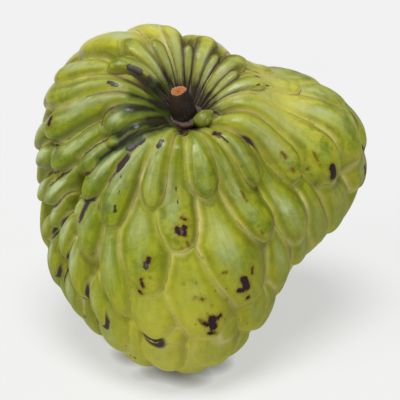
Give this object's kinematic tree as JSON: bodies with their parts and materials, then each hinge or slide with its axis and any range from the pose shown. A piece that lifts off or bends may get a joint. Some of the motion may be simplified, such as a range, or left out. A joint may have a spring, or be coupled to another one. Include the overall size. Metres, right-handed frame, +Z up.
{
  "type": "custard apple",
  "caption": "Whole custard apple with overlapping rounded scales and a short woody stalk, resting on a small flat spot.",
  "frame": {"origin": "on the flat resting spot, straight below the middle of the fruit", "axes": "+Z up as the fruit rests, -Y towards the side that the stalk leans to, +X towards the larger shoulder"},
  "size_m": [0.1032, 0.0923, 0.1029],
  "materials": {
    "skin": "thick, slightly waxy green skin with pale seams between its scales, satin; leather stands in for fruit skin",
    "bark": "dark brown dry bark, matt, with a light brown cut end"
  },
  "bodies": {
    "root": {"fruit": "skin", "stalk": "bark"}
  },
  "joints": []
}
